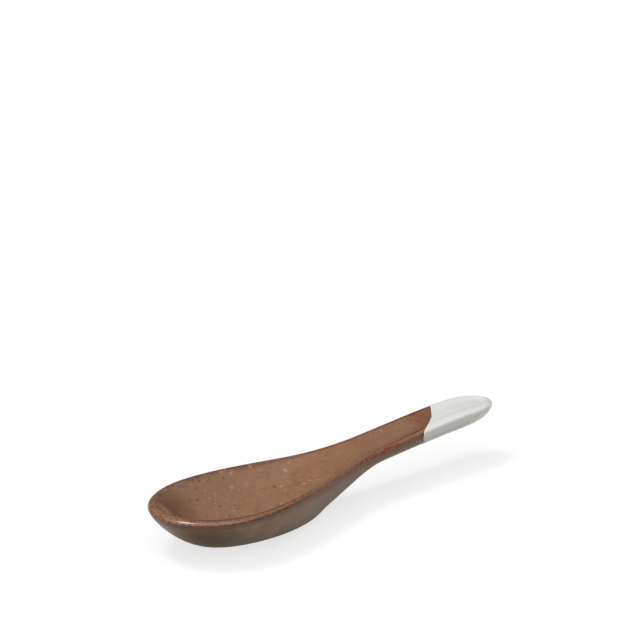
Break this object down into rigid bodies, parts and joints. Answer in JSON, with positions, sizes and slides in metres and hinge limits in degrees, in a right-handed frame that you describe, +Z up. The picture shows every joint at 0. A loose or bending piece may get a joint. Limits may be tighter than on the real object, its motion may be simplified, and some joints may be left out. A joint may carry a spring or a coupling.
{
  "type": "coffee spoon",
  "caption": "Stoneware coffee spoon with a shallow oval bowl, a flat channelled handle, speckled brown glaze and a white dipped handle end.",
  "frame": {"origin": "centre of the bounding box in plan, on the plane of the foot that the spoon stands on", "axes": "+X along the spoon from the toe of the bowl to the end of the handle, +Z up out of the bowl"},
  "size_m": [0.13, 0.0368, 0.0183],
  "materials": {
    "fired_clay": "matt",
    "brown_glaze": "satin gloss, speckled",
    "white_glaze": "gloss"
  },
  "bodies": {
    "root": {"clay_body": "fired_clay", "brown_glaze": "brown_glaze", "white_glaze": "white_glaze"}
  },
  "joints": []
}
